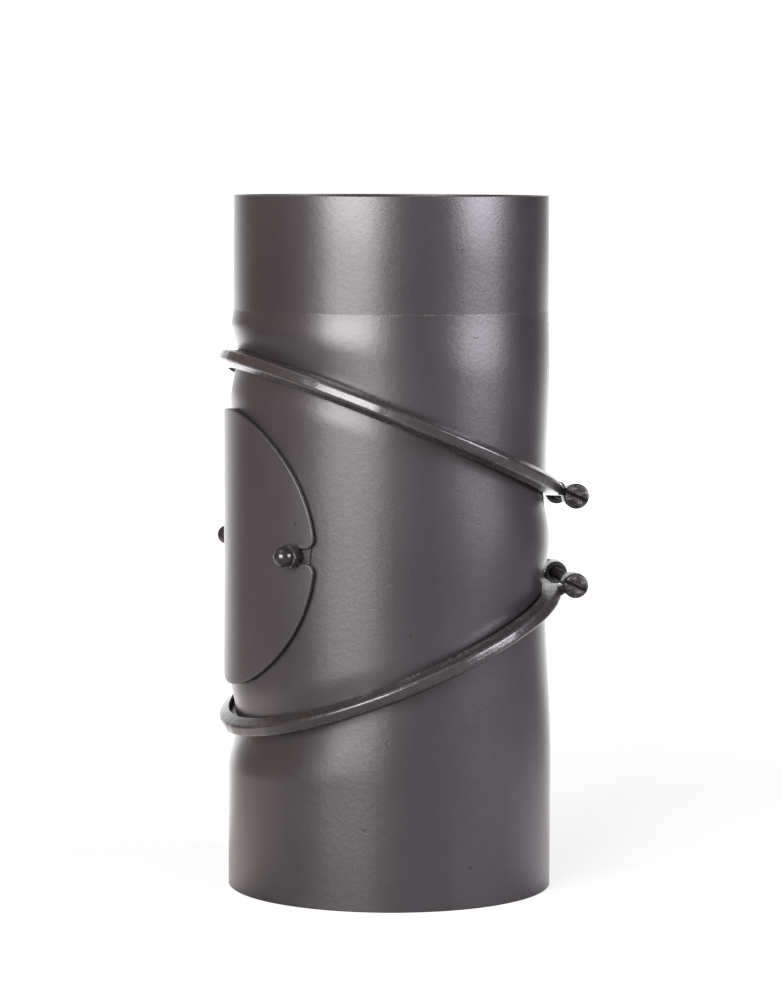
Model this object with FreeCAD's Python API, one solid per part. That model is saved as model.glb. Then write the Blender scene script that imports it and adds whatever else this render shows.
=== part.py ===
import FreeCAD, Part
import math
import os

V = FreeCAD.Vector

# Pipe, in millimetres. The origin is the centre of the lower rim, with Z up the pipe axis.
# The cleaning cover and the long side of the middle section face -X.
wall = 2.0
socket_bore = 150.0
socket_straight = 50.0
tube_bore = 148.0
spigot_diameter = 149.0
spigot_length = 54.0
bottom_height = 111.0
middle_height = 110.0
top_height = 108.0

# Swivel joints: each mouth is cut at a slant and pressed in at both ends of the long oval that the
# cut leaves, then flanged outwards to a round rim. The press fades out along the wall, within a
# share of its way on the side where the wall is tall and on the side where it is short.
joint_tilt = 22.5
joint_gap = 0.2
mouth_spread = 3.0
collar_straight = 2.0
flange_rise = 5.5
flange_rim = 1.5
tall_side_press_share = 0.9
short_side_press_share = 0.8
shoulder_share = 0.35
wall_station_count = 16

# Clamp bands: a channel of sheet with leaning legs, drawn together by a screw through two barrels.
band_sheet = 1.4
band_lean = 19.5
band_grip = 3.2
band_edge_radius = 1.2
band_inner_edge_radius = 0.3
rim_clearance = 1.3
flank_clearance = 0.32
clamp_turn = -6.3
barrel_diameter = 11.0
barrel_length = 8.0
barrel_spacing = 32.4
barrel_foot_width = 4.4
screw_height = 4.2

# Screws, studs and nuts of size M6.
thread_diameter = 6.0
running_clearance = 0.05
hole_clearance = 0.3
tip_chamfer = 0.6
screw_head_diameter = 12.0
screw_head_height = 3.6
screw_head_rounding = 1.4
slot_width = 1.6
slot_depth = 1.4
lower_slot_angle = 47.5
upper_slot_angle = 2.5
screw_overrun = 2.5
nut_flats = 10.0
nut_height = 5.0
nut_face_diameter = 9.5
nut_chamfer_angle = 30.0
cap_nut_height = 12.0
cap_nut_hex_height = 5.5
cap_nut_dome_diameter = 9.5
cap_nut_bore_depth = 8.0
drill_point_angle = 118.0
stud_end_clearance = 1.0

# Cleaning port in the middle section, its gasket and its cover.
cover_drop = 2.0
cover_diameter = 130.0
cover_sheet = 2.0
gasket_thickness = 1.2
gasket_inset = 3.0
port_rim = 20.0
stud_edge = 11.1
notch_clearance = 0.4
notch_lip_radius = 4.5
outline_point_count = 16

# How far the tools that cut a piece reach past it.
cut_margin = 5.0

tilt = math.radians(joint_tilt)
lean = math.radians(band_lean)
socket_radius = socket_bore / 2 + wall
tube_radius = tube_bore / 2 + wall
spigot_radius = spigot_diameter / 2
lower_joint = bottom_height
upper_joint = bottom_height + middle_height
total_height = upper_joint + top_height
crease_height = total_height - spigot_length
thread_radius = thread_diameter / 2
thread_bore_radius = thread_radius + running_clearance
hole_radius = thread_radius + hole_clearance

# Channel section of the clamp band, worked out from the flanges that it holds.
mouth_reach = tube_radius + mouth_spread
flange_radius = mouth_reach + flange_rise
flange_half_width = joint_gap / 2 + flange_rim
band_inner_radius = flange_radius + rim_clearance
band_radius = band_inner_radius + band_sheet
band_leg_radius = flange_radius - band_grip
half_flat = (flange_half_width + flank_clearance + band_sheet / math.cos(lean)
             - (band_radius - flange_radius) * math.tan(lean))
screw_radius = band_radius + screw_height

cover_height = (lower_joint + upper_joint) / 2 - cover_drop
gasket_radius = tube_radius + gasket_thickness
cover_radius = gasket_radius + cover_sheet
cover_mean_radius = gasket_radius + cover_sheet / 2
port_diameter = cover_diameter - 2 * port_rim
stud_arc = cover_diameter / 2 - stud_edge
stud_turn = stud_arc / cover_mean_radius


def joint_frame(height, joint_side):
    """Frame of a swivel joint: Z is its axis and X runs along the slant, towards +X.

    The slant falls towards +X at joint side 1, the upper joint, and rises at side -1, the lower.
    """
    axis = V(joint_side * math.sin(tilt), 0, math.cos(tilt))
    slope = V(math.cos(tilt), 0, -joint_side * math.sin(tilt))
    return FreeCAD.Placement(V(0, 0, height), FreeCAD.Rotation(slope, V(0, 1, 0), axis, "ZXY"))


lower_frame = joint_frame(lower_joint, -1)
upper_frame = joint_frame(upper_joint, 1)


def placed(shape, frame):
    """Copy of a shape with its own frame moved to the given one."""
    copy = shape.copy()
    copy.Placement = frame.multiply(copy.Placement)
    return copy


def rounded_wire(corners):
    """Closed wire in the XZ plane through corners (x, z, radius), each rounded by a tangent arc."""
    edges = []
    ends = []
    count = len(corners)
    for index, (x, z, radius) in enumerate(corners):
        here = V(x, 0, z)
        after = corners[(index + 1) % count]
        back = (V(corners[index - 1][0], 0, corners[index - 1][1]) - here).normalize()
        ahead = (V(after[0], 0, after[1]) - here).normalize()
        if radius == 0:
            ends.append((here, here))
            continue
        half_angle = back.getAngle(ahead) / 2
        reach = radius / math.tan(half_angle)
        middle = here + (back + ahead).normalize() * (radius / math.sin(half_angle) - radius)
        ends.append((here + back * reach, here + ahead * reach))
        edges.append(Part.Arc(here + back * reach, middle, here + ahead * reach).toShape())
    for index in range(count):
        edges.append(Part.makeLine(ends[index][1], ends[(index + 1) % count][0]))
    return Part.Wire(Part.sortEdges(edges)[0])


def turned(corners, turn=360.0):
    """Solid of revolution about Z from corners (radius, height, rounding)."""
    return Part.Face(rounded_wire(corners)).revolve(V(0, 0, 0), V(0, 0, 1), turn)


def tube(radius, low, high):
    """Plain solid cylinder about the pipe axis."""
    return Part.makeCylinder(radius, high - low, V(0, 0, low))


def ring(outer_radius, inner_radius, low, high):
    """Plain round wall about the pipe axis."""
    return tube(outer_radius, low, high).cut(tube(inner_radius, low, high))


def smooth_step(value):
    """Rise from 0 to 1 with level ends, held flat outside that range."""
    value = max(0.0, min(1.0, value))
    return value * value * (3 - 2 * value)


collar_rise = collar_straight / math.cos(tilt)
collar_offset = collar_straight * math.sin(tilt)
mouth_fall = mouth_reach * math.sin(tilt)


def pipe_station(height, slant, radius, blends, offset, inset):
    """Section of a sheet pipe by a plane that falls towards +X by the slant, through its axis.

    Across the slant it is as wide as the tube. The blends are those of its reach to +X and to -X.
    At 0 they give the pressed oval of a mouth, its middle offset towards +X where the collar
    leaves the joint at a slant, and at 1 the longer oval that the plane cuts from plain tube.
    Inset draws the section in.
    """
    across = radius - inset
    mouth = (mouth_reach - inset) * math.cos(tilt)
    right = mouth + offset + (across - mouth - offset) * blends[0]
    left = mouth - offset + (across - mouth + offset) * blends[1]
    along = (right + left) / 2 / math.cos(slant)
    fall = V(math.cos(slant), 0, -math.sin(slant))
    normal = V(math.sin(slant), 0, math.cos(slant))
    centre = V(0, 0, height) + fall * ((right - left) / 2 / math.cos(slant))
    if along >= across:
        edge = Part.Ellipse(V(0, 0, 0), along, across).toShape()
    else:
        quarter = math.pi / 2
        ellipse = Part.Ellipse(V(0, across, 0), V(-along, 0, 0), V(0, 0, 0))
        edge = ellipse.toShape(-quarter, 3 * quarter)
    wire = Part.Wire([edge])
    wire.Placement = FreeCAD.Placement(centre, FreeCAD.Rotation(fall, V(0, 1, 0), normal, "ZXY"))
    return wire


def pipe_wall(low, high, shares, radius_at, blends_at, offset):
    """Sheet wall lofted between two (height, slant) planes, which turn evenly from one to the other.

    Shares of the way set its sections. It is returned with the solid inside its outer face, and
    with the outer and inner wires at its low and its high end.
    """
    lofts = []
    ends = []
    for inset in (0, wall):
        wires = []
        for share in shares:
            height = low[0] + (high[0] - low[0]) * share
            slant = low[1] + (high[1] - low[1]) * share
            wires.append(pipe_station(height, slant, radius_at(share), blends_at(share), offset, inset))
        lofts.append(Part.makeLoft(wires, True))
        ends.append((wires[0], wires[-1]))
    low_ends, high_ends = zip(*ends)
    return lofts[0].cut(lofts[1]), lofts[0], low_ends, high_ends


def even_shares(count):
    """Evenly spaced numbers from 0 to 1, with both ends."""
    return [index / count for index in range(count + 1)]


def end_blends(share):
    """Blends of the reach to +X and to -X at a share of the way from a section's only mouth."""
    return [smooth_step(share / tall_side_press_share), smooth_step(share / short_side_press_share)]


def mouth(ends, frame, side):
    """Straight collar from a wall's slanted end to its joint, and the round flat flange about it.

    Side is 1 where the wall lies below the joint and -1 where it lies above.
    """
    axis = frame.Rotation.multVec(V(0, 0, 1))
    travel = axis * side * (collar_straight - joint_gap / 2)
    outside, inside = [Part.Face(wire).extrude(travel) for wire in ends]
    low = -flange_half_width if side > 0 else joint_gap / 2
    flange = placed(Part.makeCylinder(flange_radius, flange_rim, V(0, 0, low)), frame)
    return outside.fuse(flange).cut(inside)


def bottom_section():
    """Lowest section, whose open end takes the spigot of the pipe below."""
    wall_shape, _, _, ends = pipe_wall((socket_straight, 0), (lower_joint - collar_rise, -tilt),
                                       even_shares(wall_station_count), lambda share: socket_radius,
                                       lambda share: end_blends(1 - share), collar_offset)
    socket = ring(socket_radius, socket_radius - wall, 0, socket_straight)
    return wall_shape.fuse([socket, mouth(ends, lower_frame, 1)])


def middle_wall():
    """Wall of the middle section between its two collars, as pipe_wall gives it.

    On its short side, at +X, the press fades out halfway. On its long side, at -X, it ends at the
    edge of the cleaning cover.
    """
    low = lower_joint + collar_rise
    high = upper_joint - collar_rise
    long_side = high - low + 2 * mouth_fall
    cover_gap = cover_height - cover_diameter / 2 - low + mouth_fall
    press_shares = (1 / 2, cover_gap / long_side)

    def blends_at(share):
        return [smooth_step(min(share, 1 - share) / press_share) for press_share in press_shares]

    shares = [(1 - math.cos(math.pi * share)) / 2 for share in even_shares(2 * wall_station_count)]
    return pipe_wall((low, -tilt), (high, tilt), shares, lambda share: tube_radius, blends_at,
                     -collar_offset)


def middle_section(wall_shape, low_ends, high_ends):
    """Middle section, wedge shaped between the two joints, with the cleaning port through its wall."""
    shell = wall_shape.fuse([mouth(low_ends, lower_frame, -1), mouth(high_ends, upper_frame, 1)])
    return shell.cut(wrapped_prism(disc_outline(port_diameter)))


def top_section():
    """Uppermost section: a slanted mouth below, and above it a spigot drawn in at a crease."""
    def radius_at(share):
        rise = min(1.0, (1 - share) / shoulder_share)
        return spigot_radius + (tube_radius - spigot_radius) * math.sin(math.pi / 2 * rise)

    wall_shape, _, ends, _ = pipe_wall((upper_joint + collar_rise, tilt), (crease_height, 0),
                                       even_shares(wall_station_count), radius_at, end_blends, collar_offset)
    spigot = ring(spigot_radius, spigot_radius - wall, crease_height, total_height)
    return wall_shape.fuse([spigot, mouth(ends, upper_frame, -1)])


def wrapped_prism(outline):
    """Solid with radial sides that cuts a flat outline, rolled to the cover's curve, through the wall.

    Each piece of the outline is a function of 0 to 1 that returns arc length and height.
    Its points are carried straight out from the pipe axis onto two planes of constant x.
    """
    shares = even_shares(outline_point_count)
    wires = []
    for reach in (tube_radius / 2, 2 * tube_radius):
        edges = []
        for piece in outline:
            points = []
            for share in shares:
                arc, height = piece(share)
                across = reach * math.tan(arc / cover_mean_radius)
                points.append(V(-reach, across, cover_height + height))
            curve = Part.BSplineCurve()
            curve.interpolate(Points=points, Parameters=shares)
            edges.append(curve.toShape())
        wires.append(Part.Wire(edges))
    return Part.makeLoft(wires, True, True)


def arc_piece(centre_arc, centre_height, radius, first, last):
    """Piece of an outline: an arc about a centre from the first to the last angle in radians."""
    def point(share):
        angle = first + (last - first) * share
        return centre_arc + radius * math.cos(angle), centre_height + radius * math.sin(angle)
    return point


def line_piece(start, end):
    """Piece of an outline: a straight line."""
    def point(share):
        return start[0] + (end[0] - start[0]) * share, start[1] + (end[1] - start[1]) * share
    return point


def disc_outline(diameter):
    """Outline of a plain round disc, in two halves."""
    radius = diameter / 2
    return [arc_piece(0, 0, radius, 0, math.pi), arc_piece(0, 0, radius, math.pi, 2 * math.pi)]


def notched_outline():
    """Outline of the cover: a round disc with an open notch at each end, its lips rounded."""
    radius = cover_diameter / 2
    half_notch = thread_radius + notch_clearance
    lip = notch_lip_radius
    lip_height = half_notch + lip
    lip_arc = math.sqrt((radius - lip) ** 2 - lip_height ** 2)
    lip_turn = math.atan2(lip_height, lip_arc)
    quarter = math.pi / 2
    pieces = []
    for end in (0, math.pi):
        sign = 1 if end == 0 else -1
        pieces.append(arc_piece(sign * stud_arc, 0, half_notch, end + 3 * quarter, end + quarter))
        pieces.append(line_piece((sign * stud_arc, sign * half_notch), (sign * lip_arc, sign * half_notch)))
        pieces.append(arc_piece(sign * lip_arc, sign * lip_height, lip, end - quarter, end + lip_turn))
        pieces.append(arc_piece(0, 0, radius, end + lip_turn, end + math.pi - lip_turn))
        pieces.append(arc_piece(-sign * lip_arc, sign * lip_height, lip, end + math.pi - lip_turn,
                                end + 3 * quarter))
        pieces.append(line_piece((-sign * lip_arc, sign * half_notch), (-sign * stud_arc, sign * half_notch)))
    return pieces


def stud_frame(side):
    """Frame on the pipe axis with Z pointing out along a stud; side -1 is the stud towards -Y."""
    out = V(-math.cos(stud_turn), side * math.sin(stud_turn), 0)
    across = V(0, 0, 1).cross(out)
    return FreeCAD.Placement(V(0, 0, cover_height), FreeCAD.Rotation(across, V(0, 0, 1), out, "ZXY"))


def cleaning_cover():
    """Round sheet plate rolled to the pipe, notched at both ends for the studs."""
    plate = ring(cover_radius, gasket_radius, cover_height - cover_diameter, cover_height + cover_diameter)
    return plate.common(wrapped_prism(notched_outline()))


def cover_gasket(pipe):
    """Flat ring of sealing felt between the pipe and the cover, with a hole round each stud."""
    felt = ring(gasket_radius, tube_radius - cut_margin,
                cover_height - cover_diameter, cover_height + cover_diameter)
    felt = felt.common(wrapped_prism(disc_outline(cover_diameter - 2 * gasket_inset)))
    felt = felt.cut([pipe, wrapped_prism(disc_outline(port_diameter))])
    for side in (-1, 1):
        felt = felt.cut(placed(Part.makeCylinder(hole_radius, 2 * cover_radius), stud_frame(side)))
    return felt


def stud(side, pipe):
    """Threaded stud welded to the pipe wall, pointing straight out through the gasket and the cover."""
    tip = cover_radius + cap_nut_bore_depth - stud_end_clearance
    corners = [(0, 0, 0), (thread_radius, 0, 0), (thread_radius, tip - tip_chamfer, 0),
               (thread_radius - tip_chamfer, tip, 0), (0, tip, 0)]
    return placed(turned(corners), stud_frame(side)).cut(pipe)


def hexagon(flats, height):
    """Hexagonal prism about Z with a corner towards X, its outer end chamfered by a cone."""
    corner = flats / math.sqrt(3)
    points = [V(corner * math.cos(math.radians(60 * index)), corner * math.sin(math.radians(60 * index)), 0)
              for index in range(7)]
    prism = Part.Face(Part.makePolygon(points)).extrude(V(0, 0, height))
    face = nut_face_diameter / 2
    drop = (corner - face) * math.tan(math.radians(nut_chamfer_angle))
    bevel = turned([(0, 0, 0), (corner, 0, 0), (corner, height - drop, 0), (face, height, 0), (0, height, 0)])
    return prism.common(bevel)


def cap_nut(side):
    """Domed nut that holds the cover down on its stud."""
    dome_radius = cap_nut_dome_diameter / 2
    neck = cap_nut_height - dome_radius
    dome = Part.makeCylinder(dome_radius, neck).fuse(Part.makeSphere(dome_radius, V(0, 0, neck)))
    point = thread_bore_radius / math.tan(math.radians(drill_point_angle / 2))
    bore = turned([(0, -cut_margin, 0), (thread_bore_radius, -cut_margin, 0),
                   (thread_bore_radius, cap_nut_bore_depth, 0), (0, cap_nut_bore_depth + point, 0)])
    nut = hexagon(nut_flats, cap_nut_hex_height).fuse(dome).cut(bore)
    nut.translate(V(0, 0, cover_radius))
    return placed(nut, stud_frame(side))


def band_profile():
    """Corners of the clamp band's channel section, as radius, height and rounding."""
    leg = half_flat + (band_radius - band_leg_radius) * math.tan(lean)
    leg_inside = leg - band_sheet / math.cos(lean)
    flat_inside = leg_inside - (band_inner_radius - band_leg_radius) * math.tan(lean)
    return [(band_leg_radius, leg, 0), (band_radius, half_flat, band_edge_radius),
            (band_radius, -half_flat, band_edge_radius), (band_leg_radius, -leg, 0),
            (band_leg_radius, -leg_inside, 0), (band_inner_radius, -flat_inside, band_inner_edge_radius),
            (band_inner_radius, flat_inside, band_inner_edge_radius), (band_leg_radius, leg_inside, 0)]


def clamp_frame(joint):
    """Frame of a clamp: its joint's frame turned about the axis, with X through the middle of the gap."""
    return joint.multiply(FreeCAD.Placement(V(0, 0, 0), FreeCAD.Rotation(V(0, 0, 1), clamp_turn)))


def clamp_band():
    """Channel-section band round a pair of flanges, open between its two barrels."""
    half_gap = math.asin(barrel_spacing / 2 / band_radius)
    band = turned(band_profile(), math.degrees(2 * (math.pi - half_gap)))
    band.rotate(V(0, 0, 0), V(0, 0, 1), math.degrees(half_gap))
    return band


# Frame in a clamp at the middle of its gap: Z along the screw towards +Y, Y in towards the pipe.
screw_frame = FreeCAD.Placement(V(screw_radius, 0, 0),
                                FreeCAD.Rotation(V(0, 0, -1), V(-1, 0, 0), V(0, 1, 0), "ZXY"))


def barrel(side):
    """Short sleeve with a foot welded to one end of the band; side -1 is the end under the screw head."""
    low = barrel_spacing / 2 if side > 0 else -barrel_spacing / 2 - barrel_length
    sleeve = Part.makeCylinder(barrel_diameter / 2, barrel_length, V(0, 0, low))
    foot = Part.makeBox(barrel_foot_width, screw_radius - band_leg_radius, barrel_length,
                        V(-barrel_foot_width / 2, 0, low))
    seat = turned([(0, -barrel_diameter, 0), (0, barrel_diameter, 0), (band_leg_radius, barrel_diameter, 0)]
                  + band_profile()[:4] + [(band_leg_radius, -barrel_diameter, 0)])
    hole = Part.makeCylinder(hole_radius, barrel_length + 2 * cut_margin, V(0, 0, low - cut_margin))
    return placed(sleeve.fuse(foot), screw_frame).cut([seat, placed(hole, screw_frame)])


def clamp_nut():
    """Hexagon nut behind the far barrel."""
    bore = Part.makeCylinder(thread_bore_radius, nut_height + 2 * cut_margin, V(0, 0, -cut_margin))
    nut = hexagon(nut_flats, nut_height).cut(bore)
    nut.translate(V(0, 0, barrel_spacing / 2 + barrel_length))
    return placed(nut, screw_frame)


def clamp_screw(slot_angle):
    """Slotted pan head screw that draws the two barrels together."""
    seat = -barrel_spacing / 2 - barrel_length
    face = seat - screw_head_height
    tip = barrel_spacing / 2 + barrel_length + nut_height + screw_overrun
    head_radius = screw_head_diameter / 2
    screw = turned([(0, face, 0), (head_radius, face, screw_head_rounding), (head_radius, seat, 0),
                    (thread_radius, seat, 0), (thread_radius, tip - tip_chamfer, 0),
                    (thread_radius - tip_chamfer, tip, 0), (0, tip, 0)])
    slot = Part.makeBox(slot_width, screw_head_diameter + 2 * cut_margin, slot_depth + cut_margin,
                        V(-slot_width / 2, -head_radius - cut_margin, face - cut_margin))
    slot.rotate(V(0, 0, 0), V(0, 0, 1), slot_angle)
    return placed(screw.cut(slot), screw_frame)


def save(name, shape):
    """Write one piece as a STEP file, after making sure that it is one sound solid."""
    if len(shape.Solids) != 1 or not shape.isValid():
        raise ValueError(name + " is not one sound solid")
    shape.Solids[0].exportStep("parts/" + name + ".step")
    print(name, round(shape.Volume, 1))


os.makedirs("parts", exist_ok=True)
middle_shell, middle_core, middle_low_ends, middle_high_ends = middle_wall()
save("bottom_section", bottom_section())
save("middle_section", middle_section(middle_shell, middle_low_ends, middle_high_ends))
save("top_section", top_section())
save("cleaning_cover", cleaning_cover())
save("cover_gasket", cover_gasket(middle_core))
for end, side in (("front", -1), ("rear", 1)):
    save(end + "_stud", stud(side, middle_core))
    save(end + "_cap_nut", cap_nut(side))
for level, joint, slot_angle in (("lower", lower_frame, lower_slot_angle),
                                 ("upper", upper_frame, upper_slot_angle)):
    clamp = clamp_frame(joint)
    save(level + "_clamp_band", placed(clamp_band(), clamp))
    save(level + "_near_barrel", placed(barrel(-1), clamp))
    save(level + "_far_barrel", placed(barrel(1), clamp))
    save(level + "_clamp_nut", placed(clamp_nut(), clamp))
    save(level + "_clamp_screw", placed(clamp_screw(slot_angle), clamp))
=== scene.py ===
import math

import bmesh
import bpy
from mathutils import Matrix
import numpy as np


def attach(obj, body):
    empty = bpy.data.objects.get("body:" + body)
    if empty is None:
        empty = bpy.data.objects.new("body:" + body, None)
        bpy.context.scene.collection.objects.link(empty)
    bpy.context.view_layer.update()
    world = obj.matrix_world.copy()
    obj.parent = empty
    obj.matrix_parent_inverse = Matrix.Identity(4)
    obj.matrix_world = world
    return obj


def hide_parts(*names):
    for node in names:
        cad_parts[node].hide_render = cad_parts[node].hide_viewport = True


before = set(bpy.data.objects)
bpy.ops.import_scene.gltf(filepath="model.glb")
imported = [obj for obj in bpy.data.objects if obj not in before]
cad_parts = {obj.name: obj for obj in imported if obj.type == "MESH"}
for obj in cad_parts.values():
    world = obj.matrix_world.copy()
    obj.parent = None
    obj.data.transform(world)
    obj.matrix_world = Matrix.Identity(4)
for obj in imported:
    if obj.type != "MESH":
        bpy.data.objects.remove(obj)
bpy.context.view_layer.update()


# Bottom section: a tube of 2 mm sheet steel, sprayed with dark satin stove paint that is rubbed thin
# along the rims. Its plain lower end takes the pipe below. Its upper end is cut at a slant, pressed
# in at both ends of the long oval that the cut leaves, and flanged outwards to a round rim.
MILLIMETRE = 0.001
SHEET = 2.0
TILT = math.radians(22.5)
LOWER_JOINT = 111.0
SOCKET_RADIUS = 77.0
SOCKET_STRAIGHT = 50.0
RIM_STRAIGHT = 6.0
RIM_ROUNDING = 0.4
MOUTH_REACH = 79.0
COLLAR_STRAIGHT = 2.0
COLLAR_RISE = COLLAR_STRAIGHT / math.cos(TILT)
COLLAR_OFFSET = COLLAR_STRAIGHT * math.sin(TILT)
JOINT_GAP = 0.1
FLANGE_RADIUS = 84.5
FLANGE_FACE = 1.6
TALL_SIDE_PRESS = 0.9
SHORT_SIDE_PRESS = 0.8
WEAR_WIDTH = 0.3
AROUND = 240
NECK_ROWS = 41
NECK_EASE = 1.6
PIPE_DARK = (0.0315, 0.0262, 0.0295, 1)
PIPE_LIGHT = (0.0550, 0.0470, 0.0520, 1)
FLECK_GREY = (0.14, 0.133, 0.13, 1)
SCUFF_AND_HIGHLIGHT_GREY = (0.2, 0.185, 0.18, 1)
CHIP_BLACK = (0.008, 0.007, 0.006, 1)


def soften(corners, steps=4):
    """Rounds a polyline of rows (x, y, rounding). Each corner becomes the quadratic curve from the
    point that far before it to the point that far after it, and one more point half as far again
    on each side keeps the flats flat. The line's two ends stay as they are."""
    corners = np.array(corners, float)
    points = [corners[:1, :2]]
    share = np.linspace(0, 1, steps + 1)[:, None]
    for before, (x, y, rounding), after in zip(corners[:-2], corners[1:-1], corners[2:]):
        here = np.array([x, y])
        if rounding == 0:
            points.append(here[None])
            continue
        back, ahead = before[:2] - here, after[:2] - here
        back, ahead = back / np.linalg.norm(back), ahead / np.linalg.norm(ahead)
        start, stop = here + back * rounding, here + ahead * rounding
        curve = (1 - share) ** 2 * start + 2 * share * (1 - share) * here + share ** 2 * stop
        points += [start[None] + back * rounding / 2, curve, stop[None] + ahead * rounding / 2]
    points.append(corners[-1:, :2])
    return np.concatenate(points)


def smooth_step(value):
    """Rise from 0 to 1 with level ends: three times the square less twice the cube."""
    value = np.clip(value, 0, 1)
    return value * value * (3 - 2 * value)


def end_blends(shares):
    """Blends of a section's reach to +X and to -X at shares of the way from its only mouth."""
    return [smooth_step(shares / press) for press in (TALL_SIDE_PRESS, SHORT_SIDE_PRESS)]


def mouth_rows(joint, side, line, radius):
    """Rows of ovals round a slanted joint's axis, from a line of (reach along the slant, distance
    along the axis). Their half width across goes from the tube's radius at the collar to the
    flange's own at its rim. Each row is its plane's height on the pipe axis, its slant, its two half
    widths and the shift of its centre down the slant, the distance times the tangent of the tilt."""
    reach, along = np.array(line, float).T
    across = np.interp(reach, [MOUTH_REACH - SHEET, MOUTH_REACH, FLANGE_RADIUS],
                       [radius - SHEET, radius, FLANGE_RADIUS])
    slant = np.full(len(reach), side * TILT)
    return np.stack([joint + along / math.cos(TILT), slant, reach, across,
                     side * along * math.tan(TILT)], 1)


def drawn_rows(low, high, shares, blends, radius, offset, inset):
    """Rows between two planes (height, slant) that turn evenly. The blends are those of the reach
    to +X and to -X, from the pressed oval of a mouth at 0 to the longer oval that the plane cuts
    from plain tube at 1. The mouth's middle is offset towards +X by the collar's slant."""
    height = low[0] + (high[0] - low[0]) * shares
    slant = low[1] + (high[1] - low[1]) * shares
    mouth = (MOUTH_REACH - inset) * math.cos(TILT)
    right, left = [mouth + move + (radius - inset - mouth - move) * blend
                   for move, blend in zip((offset, -offset), blends)]
    along = (right + left) / 2 / np.cos(slant)
    return np.stack([height, slant, along, radius - inset + 0 * height,
                     (right - left) / 2 / np.cos(slant)], 1)


def plain_rows(line):
    """Level round rows from a line of (radius, height)."""
    radius, height = np.array(line, float).T
    still = np.zeros(len(radius))
    return np.stack([height, still, radius, radius, still], 1)


def full_turn(count):
    """Evenly spaced angles of one whole turn, from 0."""
    return np.arange(count) * 2 * np.pi / count


def bell(distance, width):
    """Falls from 1 at a line to 0 beside it: e to minus the square of the distance over the width."""
    return np.exp(-(distance / width) ** 2)


def sheet_points(rows):
    """Grid of points: row centre + half width * cosine down the slant + half width * sine across it.
    A ripple of about a tenth of a millimetre, as rolled sheet has, moves each point outwards."""
    angle = full_turn(AROUND)
    height, slant, along, across, shift = rows.T[:, :, None]
    reach = shift + along * np.cos(angle)
    points = np.stack([reach * np.cos(slant), across * np.sin(angle) + 0 * height,
                       height - reach * np.sin(slant)], -1)
    level = points[..., 2]
    ripple = (0.07 * np.sin(3 * angle + level / 31) + 0.05 * np.sin(5 * angle - level / 19 + 1.3)
              + 0.03 * np.sin(9 * angle + level / 12 + 0.4))
    outward = np.stack([np.cos(angle), np.sin(angle), 0 * angle], -1)
    return points + ripple[..., None] * outward


def grid_faces(rows, columns, closed=False, flip=False):
    """Four-sided faces between the neighbouring points of a grid that is stored row by row. Each row
    is a ring, and in a closed grid the last row joins the first."""
    row = np.arange(rows if closed else rows - 1)[:, None]
    column = np.arange(columns)[None, :]
    next_row, next_column = (row + 1) % rows, (column + 1) % columns
    faces = np.stack([row * columns + column, row * columns + next_column,
                      next_row * columns + next_column, next_row * columns + column], -1).reshape(-1, 4)
    return faces[:, ::-1] if flip else faces


def close_poles(mesh):
    """Joins the points that lie on one another, so that seams and poles are closed."""
    work = bmesh.new()
    work.from_mesh(mesh)
    bmesh.ops.remove_doubles(work, verts=work.verts, dist=1e-7)
    bmesh.ops.dissolve_degenerate(work, edges=work.edges, dist=1e-8)
    work.to_mesh(mesh)
    work.free()


def make_piece(name, points, faces, body, stands_for, material, wear=None, sharp=None):
    """Mesh object from points in millimetres and a list of faces, tied to its body and the
    nodes that it stands for. Wear is a share for each point: rubbed paint, and on the cover's edge
    and the cap nuts' chamfer also a painted highlight. Edges past the sharp angle stay hard."""
    mesh = bpy.data.meshes.new(name)
    points = np.asarray(points, float).reshape(-1, 3) * MILLIMETRE
    mesh.from_pydata(points.tolist(), [], [list(map(int, face)) for face in faces])
    if wear is not None:
        mesh.attributes.new("wear", "FLOAT", "POINT").data.foreach_set(
            "value", np.asarray(wear, np.float32).ravel())
    piece = bpy.data.objects.new(name, mesh)
    bpy.context.scene.collection.objects.link(piece)
    close_poles(mesh)
    mesh.shade_smooth()
    if sharp:
        mesh.set_sharp_from_angle(angle=math.radians(sharp))
    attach(piece, body)
    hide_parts(*stands_for)
    mesh.materials.append(material)
    return piece


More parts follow.
